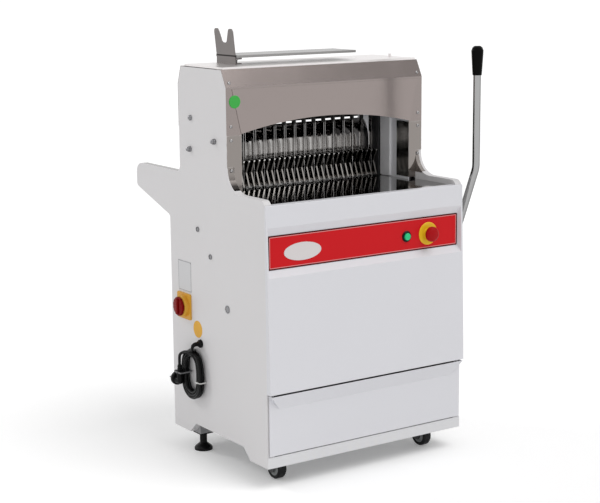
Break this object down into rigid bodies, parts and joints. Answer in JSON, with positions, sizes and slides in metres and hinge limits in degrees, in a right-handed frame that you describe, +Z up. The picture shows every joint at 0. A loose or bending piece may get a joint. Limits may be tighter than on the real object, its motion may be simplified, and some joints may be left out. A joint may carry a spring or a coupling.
{
  "type": "bread slicer",
  "caption": "Floor-standing bread slicer: loaf pushed by a side lever through two rows of reciprocating blades, with an arched hood, crumb drawer and bag holder",
  "frame": {"origin": "bottom centre of the overall box at floor level, without the free cord", "axes": "+X to the right and +Y to the rear of somebody facing the front, +Z up"},
  "size_m": [0.717, 0.6894, 1.1406],
  "materials": {
    "base_frame": "satin powder coat",
    "left_side_panel": "light grey satin powder coat",
    "right_side_panel": "light grey satin powder coat",
    "base_rail": "light grey satin powder coat",
    "left_cheek": "brushed stainless",
    "right_cheek": "brushed stainless",
    "front_table": "polished stainless",
    "infeed_table": "brushed stainless",
    "infeed_crossbar": "satin powder coat",
    "guide_rods": "ground and polished",
    "guide_strips": "white low-friction plastic",
    "hood_front": "polished stainless",
    "hood_face": "polished stainless",
    "hood_posts": "polished stainless",
    "rear_hood": "polished stainless",
    "top_lid": "light grey satin powder coat",
    "rear_panel": "light grey satin powder coat",
    "front_cover": "light grey satin powder coat",
    "control_strip": "red printed foil",
    "start_bezel": "black",
    "start_button": "green",
    "estop_collar": "yellow",
    "estop_head": "red",
    "drawer_front": "light grey satin powder coat",
    "drawer_tray": "bare stainless",
    "drawer_runners": "bare stainless",
    "blade_frame_front": "dark coated steel",
    "blade_frame_rear": "dark coated steel",
    "blades_front": "ground blade steel",
    "blades_rear": "ground blade steel",
    "crank_beams": "satin powder coat",
    "crank_bearings": "painted cast iron",
    "crankshaft": "machined steel",
    "crank_pulley": "cast iron",
    "motor_pulley": "cast iron",
    "drive_belt": "black rubber",
    "motor": "blue grey enamel",
    "motor_deck": "satin powder coat",
    "pusher_comb": "stainless sheet",
    "pusher_plate": "polished stainless",
    "pusher_carriage": "welded steel",
    "lever_shaft": "welded steel",
    "lever_tube": "polished tube",
    "lever_grip": "black plastic",
    "lever_bushes": "black nylon",
    "caster_forks": "zinc plated",
    "caster_wheel_left": "black rubber, grey hub",
    "caster_wheel_right": "black rubber, grey hub",
    "leveling_feet": "black plastic",
    "isolator_plate": "yellow",
    "isolator_knob": "red",
    "cable_gland": "black nylon",
    "cord_lead": "black cable",
    "cord_coil": "black cable",
    "cord_tail": "black cable",
    "cord_plug": "black moulded plug",
    "bag_fork": "stainless sheet",
    "bag_tray": "stainless sheet",
    "hood_screws": "stainless",
    "panel_fasteners": "plated"
  },
  "bodies": {
    "cabinet": {"base_frame": "base_frame", "left_side_panel": "left_side_panel", "right_side_panel": "right_side_panel", "base_rail": "base_rail", "left_cheek": "left_cheek", "right_cheek": "right_cheek", "front_table": "front_table", "infeed_table": "infeed_table", "infeed_crossbar": "infeed_crossbar", "guide_rods": "guide_rods", "guide_strips": "guide_strips", "hood_front": "hood_front", "hood_face": "hood_face", "hood_posts": "hood_posts", "rear_hood": "rear_hood", "top_lid": "top_lid", "rear_panel": "rear_panel", "front_cover": "front_cover", "control_strip": "control_strip", "start_bezel": "start_bezel", "estop_collar": "estop_collar", "drawer_runners": "drawer_runners", "crank_beams": "crank_beams", "crank_bearings": "crank_bearings", "drive_belt": "drive_belt", "motor": "motor", "motor_deck": "motor_deck", "lever_bushes": "lever_bushes", "caster_forks": "caster_forks", "leveling_feet": "leveling_feet", "isolator_plate": "isolator_plate", "cable_gland": "cable_gland", "cord_lead": "cord_lead", "cord_coil": "cord_coil", "cord_tail": "cord_tail", "cord_plug": "cord_plug", "bag_fork": "bag_fork", "bag_tray": "bag_tray", "hood_screws": "hood_screws", "panel_fasteners": "panel_fasteners"},
    "feed_lever": {"lever_shaft": "lever_shaft", "lever_tube": "lever_tube", "lever_grip": "lever_grip"},
    "pusher": {"pusher_comb": "pusher_comb", "pusher_plate": "pusher_plate", "pusher_carriage": "pusher_carriage"},
    "crank": {"crankshaft": "crankshaft", "crank_pulley": "crank_pulley"},
    "front_frame": {"blade_frame_front": "blade_frame_front", "blades_front": "blades_front"},
    "rear_frame": {"blade_frame_rear": "blade_frame_rear", "blades_rear": "blades_rear"},
    "motor_rotor": {"motor_pulley": "motor_pulley"},
    "crumb_drawer": {"drawer_front": "drawer_front", "drawer_tray": "drawer_tray"},
    "start_cap": {"start_button": "start_button"},
    "stop_head": {"estop_head": "estop_head"},
    "isolator_handle": {"isolator_knob": "isolator_knob"},
    "left_wheel": {"caster_wheel_left": "caster_wheel_left"},
    "right_wheel": {"caster_wheel_right": "caster_wheel_right"}
  },
  "joints": [
    {"name": "lever_swing", "type": "hinge", "parent": "cabinet", "child": "feed_lever", "pos_m": [0.3335, -0.16575, 0.38], "axis": [-1, 0, 0], "range_deg": [0, 28]},
    {"name": "pusher_slide", "type": "slide", "parent": "cabinet", "child": "pusher", "axis": [0, 1, 0], "range_m": [0, 0.155]},
    {"name": "crank_turn", "type": "hinge", "parent": "cabinet", "child": "crank", "pos_m": [-0.0115, -0.04575, 0.4], "axis": [0, 1, 0], "range_deg": [-60, 60]},
    {"name": "front_frame_lift", "type": "slide", "parent": "cabinet", "child": "front_frame", "axis": [0, 0, 1], "range_m": [-0.0115, 0.0115]},
    {"name": "rear_frame_lift", "type": "slide", "parent": "cabinet", "child": "rear_frame", "axis": [0, 0, 1], "range_m": [-0.0115, 0.0115]},
    {"name": "motor_spin", "type": "hinge", "parent": "cabinet", "child": "motor_rotor", "pos_m": [-0.1315, -0.12475, 0.31], "axis": [0, 1, 0], "range_deg": [-180, 180]},
    {"name": "drawer_slide", "type": "slide", "parent": "cabinet", "child": "crumb_drawer", "axis": [0, -1, 0], "range_m": [0, 0.32]},
    {"name": "start_push", "type": "slide", "parent": "cabinet", "child": "start_cap", "axis": [0, 1, 0], "range_m": [0, 0.004], "stiffness_N_per_m": 200},
    {"name": "stop_push", "type": "slide", "parent": "cabinet", "child": "stop_head", "axis": [0, 1, 0], "range_m": [0, 0.005], "stiffness_N_per_m": 400},
    {"name": "isolator_turn", "type": "hinge", "parent": "cabinet", "child": "isolator_handle", "pos_m": [-0.3315, 0.09025, 0.405], "axis": [1, 0, 0], "range_deg": [0, 90]},
    {"name": "left_wheel_roll", "type": "hinge", "parent": "cabinet", "child": "left_wheel", "pos_m": [-0.2485, -0.23975, 0.03], "axis": [1, 0, 0], "continuous": true},
    {"name": "right_wheel_roll", "type": "hinge", "parent": "cabinet", "child": "right_wheel", "pos_m": [0.2255, -0.23975, 0.03], "axis": [1, 0, 0], "continuous": true}
  ],
  "couplings": [
    {"joint": "pusher_slide", "follows": "lever_swing", "m_per_rad": 0.3168},
    {"joint": "front_frame_lift", "follows": "crank_turn", "m_per_rad": -0.01075},
    {"joint": "rear_frame_lift", "follows": "crank_turn", "m_per_rad": 0.01075},
    {"joint": "motor_spin", "follows": "crank_turn", "ratio": 3}
  ]
}
